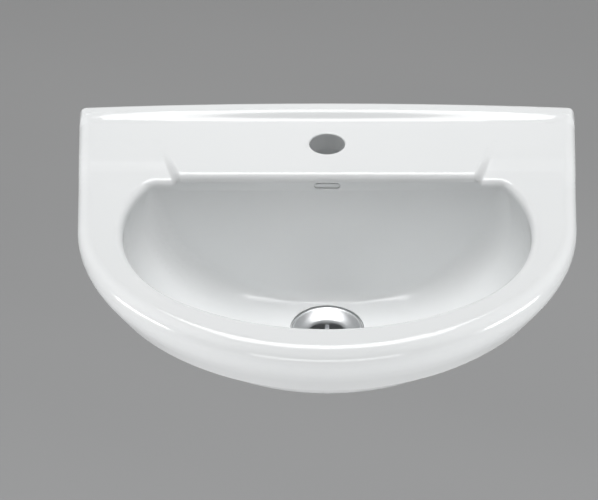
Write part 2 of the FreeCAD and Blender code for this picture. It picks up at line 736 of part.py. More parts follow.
def rounded(body, name, radius, chosen):
    """Fillets the edges of the body's tip whose middle points pass a test."""
    tip = body.Tip
    names = [f"Edge{n}" for n, edge in enumerate(tip.Shape.Edges, 1) if chosen(middle(edge))]
    fillet = body.newObject("PartDesign::Fillet", name)
    fillet.Base = (tip, names)
    tie(fillet, "Radius", radius)
    doc.recompute()
    return fillet


def roundBasin(body, band, mouth):
    """Rounds the glazed edges inside and outside the rim."""
    doc.recompute()
    deck = worthOf("Dims.deck_rise")
    strip = -worthOf("Dims.upstand_depth")
    outside, inside = sides(band), sides(mouth)

    def lip(p):
        return abs(p.z) < 0.5 and touches(p, inside)

    def arris(p):
        return -0.1 < p.z < deck + 0.1 and p.y < strip - 1 and touches(p, outside)

    rounded(body, "Lip", "Dims.lip_radius", lip)
    rounded(body, "Arris", "Dims.arris_radius", arris)


def buildBasin():
    basin = newBody("basin", ("0", "0", "Dims.rim_height"))
    band = skinBand(basin)
    for step in (skin, wallFace, underside, deckTop, upstandCrown, flankEdge, deckStep, bowlShell,
                 boss, pedestalSeat, duct, rightWeb, leftWeb):
        step(basin)
    mouth = bowlMouth(basin)
    for step in (deckFront, bowlHollow, outlet, ductBore, overflowSlot, tapHole, fixingHoles, pipeArch):
        step(basin)
    roundBasin(basin, band, mouth)
    return basin


def turned(body, name, corners, role="XZ_Plane"):
    """A ring or a turned piece: an outline of radii and heights revolved about the sketch's V axis."""
    sketch = newSketch(body, name, role)
    polygon(sketch, corners)
    feature = body.newObject("PartDesign::Revolution", name + "Turned")
    feature.Profile = sketch
    feature.ReferenceAxis = (sketch, ["V_Axis"])
    feature.Angle = 360
    return feature


drainBase = ("0", "-Dims.drain_y", "Dims.rim_height")
flangeTop = "-Dims.bowl_depth"
seatTop = "(-Dims.bowl_depth - Dims.seat_depth)"
tailRadius = "Dims.tail_diameter / 2"
boreRadius = "Dims.waste_bore_diameter / 2"
washerTop = "(-Dims.boss_bottom - Dims.lower_seal_thickness)"
nutTop = f"({washerTop} - Dims.friction_washer_thickness)"
sealSlope = "Dims.dish_drop / (Dims.seat_diameter / 2 - Dims.waste_hole_diameter / 2)"


def coneHeight(radius, lift):
    """Height of a cone that lies parallel to the outlet's seat, lifted off it."""
    return f"{seatTop} - (Dims.seat_diameter / 2 - ({radius})) * {sealSlope} + {lift}"


def wasteBody():
    body = newBody("waste_body", drainBase)
    edge = "Dims.flange_diameter / 2"
    lift = "Dims.top_seal_thickness"
    shoulder = f"({tailRadius})"
    relief = f"({shoulder} - Dims.tail_relief_depth)"
    nutBottom = f"({nutTop} - Dims.backnut_height)"
    turned(body, "flange", [
        (f"{boreRadius}", "-Dims.tail_bottom"),
        (shoulder, "-Dims.tail_bottom"),
        (shoulder, f"{nutBottom} - Dims.tail_relief_height"),
        (relief, f"{nutBottom} - Dims.tail_relief_height"),
        (relief, nutBottom),
        (shoulder, nutBottom),
        (shoulder, coneHeight(shoulder, lift)),
        (edge, coneHeight(edge, lift)),
        (edge, f"{coneHeight(edge, lift)} + Dims.flange_edge * 0.6"),
        (f"{edge} - 1.2", f"{coneHeight(edge, lift)} + Dims.flange_edge"),
        (f"{edge} - 3.5", f"{coneHeight(edge, lift)} + Dims.flange_edge - 0.2"),
        (f"{boreRadius} + 1.5", f"{flangeTop} - Dims.dish_drop + 0.6"),
        (f"{boreRadius}", f"{flangeTop} - Dims.dish_drop - 1"),
    ])
    bars = newSketch(body, "bars", "XY_Plane", f"{flangeTop} - Dims.dish_drop - Dims.bar_drop")
    cross(bars, f"{boreRadius} + 1", "Dims.bar_width / 2")
    prism(body, "Pad", "Bars", bars, "Dims.bar_depth", "One side").Reversed = True
    slots = newSketch(body, "slots", "XZ_Plane")
    low = "-Dims.boss_bottom + Dims.duct_wall"
    half = "Dims.tail_slot_width / 2"
    polygon(slots, [
        (f"-{half}", low),
        (half, low),
        (half, f"{low} + Dims.tail_slot_height"),
        (f"-{half}", f"{low} + Dims.tail_slot_height"),
    ])
    prism(body, "Pocket", "TailSlots", slots, "Dims.tail_diameter + 4")
    return body


def cross(sketch, reach, half):
    """A plus sign of two equal bars."""
    r, b = f"({reach})", f"({half})"
    quarter = [(r, b), (b, b), (b, r)]
    corners = list(quarter)
    corners += [(f"-{x}", y) for x, y in reversed(quarter)]
    corners += [(f"-{x}", f"-{y}") for x, y in quarter]
    corners += [(x, f"-{y}") for x, y in reversed(quarter)]
    polygon(sketch, corners)


def ring(label, base, inner, outer, low, high, role="XZ_Plane"):
    body = newBody(label, base)
    turned(body, "ring", [(inner, low), (outer, low), (outer, high), (inner, high)], role)
    return body


def topSeal():
    body = newBody("waste_top_seal", drainBase)
    inner, outer = f"({tailRadius} + Dims.tail_clearance)", "(Dims.flange_diameter / 2 - 1)"
    lift = "Dims.top_seal_thickness"
    turned(body, "ring", [
        (inner, coneHeight(inner, "0")),
        (outer, coneHeight(outer, "0")),
        (outer, coneHeight(outer, lift)),
        (inner, coneHeight(inner, lift)),
    ])
    return body


def hexPrism(body, name, role, flats, level, height):
    """A pad with a regular six-sided outline, two of its sides level."""
    sketch = newSketch(body, name, role, level)
    half = f"({flats}) / 2"
    corner = f"({flats}) / sqrt(3)"
    polygon(sketch, [
        (corner, "0"),
        (f"{corner} / 2", half),
        (f"-{corner} / 2", half),
        (f"-{corner}", "0"),
        (f"-{corner} / 2", f"-{half}"),
        (f"{corner} / 2", f"-{half}"),
    ])
    return prism(body, "Pad", name.title() + "Pad", sketch, height, "One side")


def drilled(body, name, role, level, diameter, length):
    sketch = newSketch(body, name, role, level)
    circle(sketch, "0", "0", diameter)
    return prism(body, "Pocket", name.title() + "Bore", sketch, length)


def backnut():
    body = newBody("waste_backnut", drainBase)
    bottom = f"{nutTop} - Dims.backnut_height"
    hexPrism(body, "nut", "XY_Plane", "Dims.backnut_flats", bottom, "Dims.backnut_height")
    hole = "Dims.tail_diameter + Dims.tail_clearance"
    drilled(body, "thread", "XY_Plane", bottom, hole, "4 * Dims.backnut_height")
    return body


def wasteSet():
    inner = f"({tailRadius} + Dims.tail_clearance)"
    pieces = [wasteBody(), topSeal()]
    pieces.append(ring("waste_lower_seal", drainBase, inner, "Dims.boss_diameter / 2 - 4", washerTop,
                       "-Dims.boss_bottom"))
    pieces.append(ring("waste_friction_washer", drainBase, inner, "Dims.boss_diameter / 2 - 5", nutTop,
                       washerTop))
    pieces.append(backnut())
    return pieces


bushTop = "(-Dims.back_panel - Dims.bush_collar_thickness)"
wallWasherTop = f"({bushTop} - Dims.washer_thickness)"


def fixingSet(side):
    """Everything that holds one side to the wall, along an axis parallel to Y."""
    name = "right" if side > 0 else "left"
    base = (f"{side} * Dims.fixing_spacing / 2", "0", "0")
    bolt = "(Dims.bolt_diameter / 2)"
    loose = f"({bolt} + Dims.fixing_clearance)"
    hole = "(Dims.fixing_hole_diameter / 2 - Dims.fixing_clearance)"

    stud = newBody(f"{name}_hanger_bolt", base)
    turned(stud, "stud", [
        ("0", "-Dims.bolt_reach"),
        (f"{bolt} - 1", "-Dims.bolt_reach"),
        (bolt, "-Dims.bolt_reach + 1"),
        (bolt, "Dims.bolt_grip - 12"),
        ("0.8", "Dims.bolt_grip"),
        ("0", "Dims.bolt_grip"),
    ], "XY_Plane")

    plug = newBody(f"{name}_wall_plug", base)
    turned(plug, "plug", [
        (loose, "0"),
        ("Dims.plug_collar_diameter / 2", "0"),
        ("Dims.plug_collar_diameter / 2", "Dims.plug_collar_thickness"),
        ("Dims.plug_diameter / 2", "Dims.plug_collar_thickness"),
        ("Dims.plug_diameter / 2", "Dims.plug_length - 6"),
        ("Dims.plug_diameter / 2 - 1.2", "Dims.plug_length"),
        (loose, "Dims.plug_length"),
    ], "XY_Plane")

    bush = newBody(f"{name}_bush", base)
    turned(bush, "bush", [
        (loose, "-Dims.back_panel + Dims.bush_sleeve_length"),
        (hole, "-Dims.back_panel + Dims.bush_sleeve_length"),
        (hole, "-Dims.back_panel"),
        ("Dims.bush_collar_diameter / 2", "-Dims.back_panel"),
        ("Dims.bush_collar_diameter / 2", f"{bushTop} + 1"),
        ("Dims.bush_collar_diameter / 2 - 1", bushTop),
        (loose, bushTop),
    ], "XY_Plane")

    washer = ring(f"{name}_washer", base, loose, "Dims.washer_diameter / 2", wallWasherTop, bushTop,
                  "XY_Plane")
    nut = newBody(f"{name}_nut", base)
    hexPrism(nut, "nut", "XZ_Plane", "Dims.nut_flats", f"-{wallWasherTop}", "Dims.nut_height")
    drilled(nut, "thread", "XZ_Plane", f"-{wallWasherTop}", f"2 * {loose}", "4 * Dims.nut_height")
    return [stud, plug, bush, washer, nut]


def checkAll():
    doc.recompute()
    for item in doc.Objects:
        if "Invalid" in item.State or "Error" in item.State:
            raise RuntimeError(f"{item.Label} did not build: {item.State}")
    for body in parts:
        if body.Shape.isNull() or not body.Shape.isValid() or len(body.Shape.Solids) != 1:
            raise RuntimeError(f"{body.Label} is not one sound solid")


def export():
    os.makedirs("parts", exist_ok=True)
    for body in parts:
        body.Shape.exportStep(f"parts/{body.Label}.step")
        print(body.Label, round(body.Shape.Volume), "mm3")


buildBasin()
wasteSet()
for side in (-1, 1):
    fixingSet(side)
checkAll()
export()
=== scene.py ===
import math

import bmesh
import bpy
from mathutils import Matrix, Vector


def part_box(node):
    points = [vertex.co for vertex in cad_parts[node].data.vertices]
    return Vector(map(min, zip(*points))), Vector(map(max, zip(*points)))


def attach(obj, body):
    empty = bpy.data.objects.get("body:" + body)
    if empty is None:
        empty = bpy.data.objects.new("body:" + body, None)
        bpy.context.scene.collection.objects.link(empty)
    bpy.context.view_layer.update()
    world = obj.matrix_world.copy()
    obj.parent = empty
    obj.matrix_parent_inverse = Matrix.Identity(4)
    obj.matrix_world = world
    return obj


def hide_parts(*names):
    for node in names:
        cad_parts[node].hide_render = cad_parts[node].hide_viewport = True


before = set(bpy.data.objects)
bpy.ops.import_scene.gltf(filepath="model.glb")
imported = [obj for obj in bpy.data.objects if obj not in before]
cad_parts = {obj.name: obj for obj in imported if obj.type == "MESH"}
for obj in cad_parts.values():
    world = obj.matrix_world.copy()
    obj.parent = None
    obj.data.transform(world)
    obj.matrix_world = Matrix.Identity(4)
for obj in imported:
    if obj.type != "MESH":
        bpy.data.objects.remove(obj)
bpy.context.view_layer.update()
print("frame loaded:", len(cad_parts), "nodes")

viewSetup = {
    "aim": (0.0, -0.2, 0.095),     # middle of the rim's plane
    "distance": 3.0,
    "elevation": 36.89,            # degrees above the level
    "lens": 188.5,
    "shift": (-0.047, -0.0315),
    "clip": (0.05, 60),
}


def putCamera(setup):
    tilt = math.radians(setup["elevation"])
    away = Vector((0, -math.cos(tilt), math.sin(tilt)))
    data = bpy.data.cameras.new("viewCamera")
    data.lens = setup["lens"]
    data.sensor_width = 36
    data.shift_x, data.shift_y = setup["shift"]
    data.clip_start, data.clip_end = setup["clip"]
    camera = bpy.data.objects.new("viewCamera", data)
    bpy.context.collection.objects.link(camera)
    camera.location = Vector(setup["aim"]) + away * setup["distance"]
    camera.rotation_euler = (math.radians(90) - tilt, 0, 0)
    bpy.context.scene.camera = camera


putCamera(viewSetup)
bpy.context.scene.view_settings.view_transform = "Standard"
print("camera ready")


class Wire:
    # wraps a socket, so that shader maths reads as plain expressions
    def __init__(self, finish, socket):
        self.finish, self.socket = finish, socket

    def math(self, operation, *values):
        return self.finish.node("ShaderNodeMath", {"operation": operation}, dict(enumerate(values)))

    def __add__(self, other):
        return self.math("ADD", self, other)

    __radd__ = __add__

    def __mul__(self, other):
        return self.math("MULTIPLY", self, other)

    __rmul__ = __mul__

    def __sub__(self, other):
        return self.math("SUBTRACT", self, other)

    def __rsub__(self, other):
        return self.math("SUBTRACT", other, self)

    def over(self, edge, soft):
        # 0 below an edge value, 1 above it, over a soft step
        return self.finish.node("ShaderNodeMapRange", {"interpolation_type": "SMOOTHSTEP"},
                                {"Value": self, "From Min": edge - soft, "From Max": edge + soft})

    def part(self, name):
        # another output of the same node
        return Wire(self.finish, self.socket.node.outputs[name])


class Finish:
    # the nodes of a material or of the world, built from expressions
    def __init__(self, name, kind="materials", shader="BSDF_PRINCIPLED"):
        self.owner = getattr(bpy.data, kind).new(name)
        self.owner.use_nodes = True
        self.tree = self.owner.node_tree
        self.shader = next(n for n in self.tree.nodes if n.type == shader)

    def node(self, kind, settings=None, sockets=None):
        node = self.tree.nodes.new(kind)
        for key, value in (settings or {}).items():
            setattr(node, key, value)
        for key, value in (sockets or {}).items():
            self.feed(node.inputs[key], value)
        return Wire(self, node.outputs[0])

    def feed(self, socket, value):
        if isinstance(value, Wire):
            self.tree.links.new(value.socket, socket)
        elif isinstance(value, tuple) and len(value) == 3 and socket.type == "RGBA":
            socket.default_value = (*value, 1)
        else:
            socket.default_value = value

    def place(self):
        return self.node("ShaderNodeTexCoord").part("Object")

    def axes(self, vector, names):
        apart = self.node("ShaderNodeSeparateXYZ", None, {0: vector})
        return [apart.part(name) for name in names]

    def noise(self, place, scale, detail=3.0, roughness=0.5):
        sockets = {"Vector": place, "Scale": scale, "Detail": detail, "Roughness": roughness}
        return self.node("ShaderNodeTexNoise", None, sockets)

    def greater(self, first, second):
        return self.node("ShaderNodeMath", {"operation": "MAXIMUM"}, {0: first, 1: second})

    def blend(self, factor, first, second):
        # a colour between two, by a factor
        return self.node("ShaderNodeMix", {"data_type": "RGBA"},
                         {0: factor, 6: first, 7: second}).part(2)

    def bump(self, height, strength, distance):
        return self.node("ShaderNodeBump", None,
                         {"Height": height, "Strength": strength, "Distance": distance})

    def done(self, **values):
        for key, value in values.items():
            self.feed(self.shader.inputs[key.replace("_", " ")], value)
        return self.owner


mergeWithin = 1e-6             # doubles this close, in metres, are one point


def onlySelect(piece):
    bpy.ops.object.select_all(action="DESELECT")
    piece.select_set(True)
    bpy.context.view_layer.objects.active = piece


def applyModifier(piece, kind, **settings):
    onlySelect(piece)
    modifier = piece.modifiers.new(kind.lower(), kind)
    for key, value in settings.items():
        setattr(modifier, key, value)
    bpy.ops.object.modifier_apply(modifier=modifier.name)


def shadeByAngle(piece, degrees):
    onlySelect(piece)
    bpy.ops.object.shade_smooth_by_angle(angle=math.radians(degrees))


def addBlock(low, high, bevel=0.0):
    # a block between two corners, its edges rounded where a bevel is given
    bpy.ops.object.select_all(action="DESELECT")
    middle = [(a + b) / 2 for a, b in zip(low, high)]
    size = [b - a for a, b in zip(low, high)]
    bpy.ops.mesh.primitive_cube_add(size=1, location=middle, scale=size)
    bpy.ops.object.transform_apply(location=True, rotation=True, scale=True)
    piece = bpy.context.active_object
    if bevel:
        applyModifier(piece, "BEVEL", width=bevel, segments=3)
    return piece


def joinTo(piece, *others):
    onlySelect(piece)
    for other in others:
        other.select_set(True)
    bpy.ops.object.join()
    return piece


def settle(piece, slot, *nodes):
    # gives a finished piece its finish, its body and the nodes it stands for
    piece.data.materials.clear()
    piece.data.materials.append(finishes[slot])
    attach(piece, "root")
    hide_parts(*nodes)


def dress(node, slot):
    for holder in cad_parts[node].material_slots:
        holder.material = finishes[slot]


# the glazed casting: the CAD shape with the sharp edges rounded as glaze rounds them
basinSetup = {
    "flatness": 0.05,          # degrees within which faces count as one plane
    "sharp": 24.0,             # degrees from which an edge counts as sharp
    "shade": 30,               # degrees up to which the shading runs on over an edge
    "deck": 0.1030,            # height of the tap deck
    "merge": (2e-5, 1e-5),     # points this close merge, and edges this short go
    # which edges, least and greatest corner of where they lie, radius, steps
    "edges": [
        ("deckFront", (-0.149, -0.1190, 0.1025), (0.149, -0.1170, 0.1035), 0.0048, 6),
        ("tapHole", (-0.019, -0.0850, 0.1025), (0.019, -0.0470, 0.1035), 0.0016, 4),
        ("overflow", (-0.014, -0.1230, 0.0870), (0.014, -0.1200, 0.0950), 0.0010, 3),
    ],
    # a web of ceramic close behind the overflow slot, which leaves a narrow gap above it
    "web": ((-0.0135, -0.1196, 0.0860), (0.0135, -0.1100, 0.0922), 0.0008),
    # the deck's sides run out into the rim in a soft ramp along a line from its front corner
    "ramp": {
        "start": (0.1480, -0.1181),
        "end": (0.1670, -0.0620),
        "width": 0.0045,       # to either side of the line
        "span": (-0.1209, -0.0620),
        "heights": (0.0875, 0.1100),
        "region": (0.022, 0.001),  # how far the cuts reach to the sides and to the front
        "slices": (0.0045, 13),    # spacing and number
        "cuts": (0.0007, 0.0014, 0.0021, 0.0028, 0.0036, 0.0045),
        "near": 2e-4,          # points closer to the line than this belong to the upright side
        "on": 2e-5,            # and those closer than this lie on it
    },
    # the strip along the wall swells out of the deck; its back edge and its ends are round
    "crown": {
        "height": 0.110,
        "fall": 0.0875,        # how fast the top falls away, per metre of width squared
        "half": 0.2498,        # half width at the wall
        "taper": 0.0516,       # how fast the sides draw in away from the wall
        "reach": -0.0310,      # how far from the wall and how low the shape changes
        "low": 0.0880,
        "slopeFoot": -0.0170,  # where the straight slope starts that the swell replaces
        "swell": (-0.0290, -0.0150),
        "endRadius": 0.0125,   # as on the rim's outer edge
        "endPower": (2.0, 5.5),    # 2 is a circle, more is squarer: away from the wall and at it
        "squareBy": -0.005,    # where the ends are at their squarest
        "inset": 0.0020,       # how far the ends draw in
        "insetBy": -0.008,
        "insetFade": -0.016,
        "backRadius": 0.009,
        "skin": (0.0002, 0.0003),  # how deep the cuts of the top and of the wall face reach
        "slices": (0.00125, 0.0250),   # depth and width
        "levels": (0.0003, 0.001, 22),     # first above low, step and number
        "cuts": (0.0002, 0.0008, 0.0017, 0.0029, 0.0043, 0.0058, 0.0074, 0.0092, 0.0110),
    },
}


def copyNode(node, name):
    piece = bpy.data.objects.new(name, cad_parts[node].data.copy())
    bpy.context.collection.objects.link(piece)
    onlySelect(piece)
    bpy.ops.object.mode_set(mode="EDIT")
    bpy.ops.mesh.select_all(action="SELECT")
    bpy.ops.mesh.customdata_custom_splitnormals_clear()
    bpy.ops.mesh.remove_doubles(threshold=mergeWithin)
    bpy.ops.object.mode_set(mode="OBJECT")
    return piece


def inside(point, low, high):
    return all(a <= c <= b for a, c, b in zip(low, point, high))


def selectSharp(piece, least, low, high):
    # selects the sharp edges that lie between two corners
    form = bmesh.new()
    form.from_mesh(piece.data)
    wanted = set()
    for edge in form.edges:
        if len(edge.link_faces) == 2 and edge.calc_face_angle() > math.radians(least):
            if all(inside(v.co, low, high) for v in edge.verts):
                wanted.add(edge.index)
    form.free()
    for items in (piece.data.polygons, piece.data.vertices):
        items.foreach_set("select", [False] * len(items))
    for edge in piece.data.edges:
        edge.select = edge.index in wanted
    return len(wanted)


def roundEdges(piece, least, low, high, radius, steps):
    count = selectSharp(piece, least, low, high)
    onlySelect(piece)
    bpy.ops.object.mode_set(mode="EDIT")
    bpy.ops.mesh.select_mode(type="EDGE")
    bpy.ops.mesh.bevel(offset=radius, segments=steps, affect="EDGES", clamp_overlap=False)
    bpy.ops.object.mode_set(mode="OBJECT")
    return count


def cutRegion(piece, low, high, planes):
    # cuts the faces that reach into a box along planes, each a point and a normal
    onlySelect(piece)
    for items in (piece.data.edges, piece.data.vertices):
        items.foreach_set("select", [False] * len(items))
    points = piece.data.vertices
    for face in piece.data.polygons:
        corners = [points[n].co for n in face.vertices]
        least = [min(c[axis] for c in corners) for axis in range(3)]
        most = [max(c[axis] for c in corners) for axis in range(3)]
        face.select = all(a <= h and b >= l for a, b, l, h in zip(least, most, low, high))
    bpy.ops.object.mode_set(mode="EDIT")
    bpy.ops.mesh.select_mode(type="FACE")
    bpy.ops.mesh.hide(unselected=True)
    bpy.ops.mesh.select_all(action="SELECT")
    bpy.ops.mesh.quads_convert_to_tris()
    for point, normal in planes:
        bpy.ops.mesh.select_all(action="SELECT")
        bpy.ops.mesh.bisect(plane_co=point, plane_no=normal)
    bpy.ops.mesh.reveal(select=False)
    bpy.ops.mesh.select_mode(type="VERT")
    bpy.ops.object.mode_set(mode="OBJECT")


def between(pairs, value):
    # straight interpolation in a sorted list of pairs
    if value <= pairs[0][0]:
        return pairs[0][1]
    for (a, first), (b, second) in zip(pairs, pairs[1:]):
        if value <= b:
            return first + (second - first) * (value - a) / (b - a)
    return pairs[-1][1]


def smooth(value, start, end):
    # 0 before a start, 1 past an end, with a soft step between
    share = min(max((value - start) / (end - start), 0), 1)
    return share * share * (3 - 2 * share)


def rampDeckSide(piece, sign, ramp):
    # turns the upright side of the raised deck into a soft ramp
    start, end = (Vector((sign * x, y, 0)) for x, y in (ramp["start"], ramp["end"]))
    line = (end - start).normalized()
    inward = Vector((-sign * line.y, sign * line.x, 0))
    width, (front, back) = ramp["width"], ramp["span"]
    middle = sign * (ramp["start"][0] + ramp["end"][0]) / 2
    aside, ahead = ramp["region"]
    low = (middle - aside, front - ahead, ramp["heights"][0])
    high = (middle + aside, back, ramp["heights"][1])

    def nearLine(co):
        return inside(co, low, high) and abs((co - start).dot(inward)) < ramp["near"]

    spacing, count = ramp["slices"]
    ys = {round(v.co.y, 5) for v in piece.data.vertices if nearLine(v.co)}
    ys |= {front + spacing * n for n in range(1, count)}
    planes = [(start + inward * d * s, inward) for d in ramp["cuts"] for s in (-1, 1)]
    planes += [((0, y, 0), (0, 1, 0)) for y in sorted(ys) if front < y < back]
    cutRegion(piece, low, high, planes)
    heights = {}
    for vertex in piece.data.vertices:
        if nearLine(vertex.co):
            heights.setdefault(round(vertex.co.y, 4), []).append(vertex.co.z)
    foot = sorted((y, min(zs)) for y, zs in heights.items() if len(zs) > 1)
    top = sorted((y, max(zs)) for y, zs in heights.items() if len(zs) > 1)
    for vertex in piece.data.vertices:
        co = vertex.co
        side = (co - start).dot(inward)
        if not inside(co, low, high) or not front <= co.y <= back or abs(side) >= width:
            continue
        share = smooth(side, -width, width)
        if side > ramp["on"]:
            floor = min(co.z, between(foot, co.y))
            vertex.co.z = floor + (co.z - floor) * share
        elif side < -ramp["on"]:
            vertex.co.z = co.z + max(between(top, co.y) - co.z, 0) * share
        else:
            vertex.co.z = (between(foot, co.y) + between(top, co.y)) / 2
    return len(foot)


def roundOff(across, down, radius, press):
    # both are depths below two faces that meet in an edge; the point moves to suit a round edge
    a, d = min(across - radius, 0), min(down - radius, 0)
    reach = math.hypot(a, d)
    if reach == 0:
        return across, down
    share = max(-a, -d) / reach if press else min(1, radius / reach)
    return across + a * (share - 1), down + d * (share - 1)


def squareOff(across, down, radius, power):
    # draws a round edge out towards the corner
    a, d = max(radius - across, 0), max(radius - down, 0)
    if a == 0 or d == 0:
        return across, down
    share = math.hypot(a, d) / (a ** power + d ** power) ** (1 / power)
    return radius - a * share, radius - d * share


def cutCrown(piece, crown, deck):
    half, reach, low = crown["half"], crown["reach"], crown["low"]
    depth, width = crown["slices"]
    first, step, count = crown["levels"]
    topSkin, wallSkin = crown["skin"]
    past = 0.001               # beyond the ceramic
    deep = [((0, reach + depth * n, 0), (0, 1, 0)) for n in range(1, int(-reach / depth))]
    wide = [((width * n, 0, 0), (1, 0, 0)) for n in range(-9, 10)]
    close = [((0, -d, 0), (0, 1, 0)) for d in crown["cuts"]]
    cutRegion(piece, (-1, reach, deck - topSkin), (1, past, 1), deep + wide + close)
    levels = [((0, 0, low + first + step * n), (0, 0, 1)) for n in range(count)]
    cutRegion(piece, (-1, -wallSkin, low), (1, past, 1), levels)
    ends = [((s * (half - d), 0, 0), (1, 0, 0)) for d in crown["cuts"] for s in (-1, 1)]
    for s in (-1, 1):
        inner, outer = sorted((s * (half - crown["endRadius"]), s * (half + past)))
        cutRegion(piece, (inner, reach, low), (outer, past, 1), ends + levels + deep + close)


def roundCrown(piece, crown, deck):
    cutCrown(piece, crown, deck)
    reach, low, foot = crown["reach"], crown["low"], crown["slopeFoot"]
    radius = crown["endRadius"]
    loose, tight = crown["endPower"]
    for vertex in piece.data.vertices:
        x, y, z = vertex.co
        if y < reach or z < low:
            continue
        # the straight slope gives way to the swell
        top = crown["height"] - crown["fall"] * x * x
        old = min(max(deck + y - foot, deck), top)
        height = deck + (top - deck) * smooth(y, *crown["swell"])
        z += (height - old) * min((z - low) / (old - low), 1)
        # the edge along the end, then the one along the back
        edge = crown["half"] + crown["taper"] * y
        across, down = roundOff(edge - abs(x), height - z, radius, y > foot)
        power = loose + (tight - loose) * smooth(y, reach, crown["squareBy"])
        across, down = squareOff(across, down, radius, power)
        z = height - down
        inset = min(max(radius - across, 0), radius)
        height -= radius - (radius ** power - inset ** power) ** (1 / power)
        deep, down = roundOff(-y, height - z, crown["backRadius"], True)
        z = height - down
        share = smooth(y, reach, crown["insetBy"]) * smooth(z, low, deck)
        share *= smooth(-across, crown["insetFade"], 0)
        across += crown["inset"] * share
        vertex.co = (math.copysign(edge - across, x), -deep, z)


def makeBasin(setup):
    piece = copyNode("basin", "basinGlazed")
    bpy.ops.object.mode_set(mode="EDIT")
    bpy.ops.mesh.dissolve_limited(angle_limit=math.radians(setup["flatness"]))
    bpy.ops.object.mode_set(mode="OBJECT")
    for name, low, high, radius, steps in setup["edges"]:
        count = roundEdges(piece, setup["sharp"], low, high, radius, steps)
        print("basin edges", name, count)
    for sign in (-1, 1):
        print("deck side", rampDeckSide(piece, sign, setup["ramp"]))
    roundCrown(piece, setup["crown"], setup["deck"])
    close, short = setup["merge"]
    onlySelect(piece)
    bpy.ops.object.mode_set(mode="EDIT")
    bpy.ops.mesh.select_all(action="SELECT")
    bpy.ops.mesh.remove_doubles(threshold=close)
    bpy.ops.mesh.dissolve_degenerate(threshold=short)
    bpy.ops.object.mode_set(mode="OBJECT")
    joinTo(piece, addBlock(*setup["web"]))
    shadeByAngle(piece, setup["shade"])
    applyModifier(piece, "WEIGHTED_NORMAL", keep_sharp=True)
    return piece


basin = makeBasin(basinSetup)
print("basin:", len(basin.data.polygons), "faces")


# turned, threaded and hexagonal pieces are modelled along Z and then put in place
def lathe(name, rings, sides=96, solid=False):
    # an outline of radii and heights carried round Z: a closed ring, or a solid from axis to axis
    bpy.ops.object.select_all(action="DESELECT")
    radius, height = rings[0]
    bpy.ops.mesh.primitive_circle_add(vertices=sides, radius=radius, location=(0, 0, height))
    piece = bpy.context.active_object
    piece.name = name
    bpy.ops.object.transform_apply(location=True, rotation=True, scale=True)
    bpy.ops.object.mode_set(mode="EDIT")
    bpy.ops.mesh.select_all(action="SELECT")
    for nextRadius, nextHeight in rings[1:] + ([] if solid else rings[:1]):
        step = (0, 0, nextHeight - height)
        bpy.ops.mesh.extrude_region_move(TRANSFORM_OT_translate={"value": step})
        share = nextRadius / radius
        bpy.ops.transform.resize(value=(share, share, 1), center_override=(0, 0, nextHeight))
        radius, height = nextRadius, nextHeight
    bpy.ops.mesh.select_all(action="SELECT")
    bpy.ops.mesh.remove_doubles(threshold=mergeWithin)
    bpy.ops.mesh.normals_make_consistent(inside=False)
    bpy.ops.object.mode_set(mode="OBJECT")
    return piece


def carve(piece, tool, operation):
    applyModifier(piece, "BOOLEAN", operation=operation, object=tool, solver="EXACT")
    bpy.data.objects.remove(tool)


def addRod(radius, low, high, sides):
    bpy.ops.object.select_all(action="DESELECT")
    bpy.ops.mesh.primitive_cylinder_add(vertices=sides, radius=radius, depth=high - low,
                                        location=(0, 0, (low + high) / 2))
    bpy.ops.object.transform_apply(location=True, rotation=True, scale=True)
    return bpy.context.active_object


def thread(name, root, crest, pitch, low, high, bore=None, sides=48):
    # a screw thread between two heights: a solid rod, or a sleeve round a bore; the profile's
    # start keeps all its points off the planes that cut it to length
    bpy.ops.object.select_all(action="DESELECT")
    bpy.ops.mesh.primitive_circle_add(vertices=5, radius=root)
    piece = bpy.context.active_object
    piece.name = name
    bpy.ops.object.mode_set(mode="EDIT")
    bpy.ops.mesh.select_mode(type="EDGE")
    bpy.ops.object.mode_set(mode="OBJECT")
    start = low - 1.4925 * pitch
    profile = [(root, 0), (crest, 0.38), (crest, 0.5), (root, 0.88), (root, 1)]
    for vertex, (radius, share) in zip(piece.data.vertices, profile):
        vertex.co = (radius, 0, start + share * pitch)
    for edge in piece.data.edges:
        edge.select = sorted(edge.vertices) == [0, 4]
    bpy.ops.object.mode_set(mode="EDIT")
    bpy.ops.mesh.delete(type="EDGE")
    bpy.ops.object.mode_set(mode="OBJECT")
    turns = math.ceil((high - start) / pitch) + 1
    applyModifier(piece, "SCREW", axis="Z", steps=sides, render_steps=sides, screw_offset=pitch,
                  iterations=turns, use_merge_vertices=True, merge_threshold=mergeWithin)
    bpy.ops.object.mode_set(mode="EDIT")
    for height, side in ((low, "clear_inner"), (high, "clear_outer")):
        bpy.ops.mesh.select_all(action="SELECT")
        bpy.ops.mesh.bisect(plane_co=(0, 0, height), plane_no=(0, 0, 1), use_fill=True,
                            threshold=1e-7, **{side: True})
    bpy.ops.mesh.select_all(action="SELECT")
    bpy.ops.mesh.remove_doubles(threshold=mergeWithin)
    bpy.ops.mesh.normals_make_consistent(inside=False)
    bpy.ops.object.mode_set(mode="OBJECT")
    if bore is not None:
        carve(piece, addRod(bore, low - pitch, high + pitch, sides), "DIFFERENCE")
    return piece


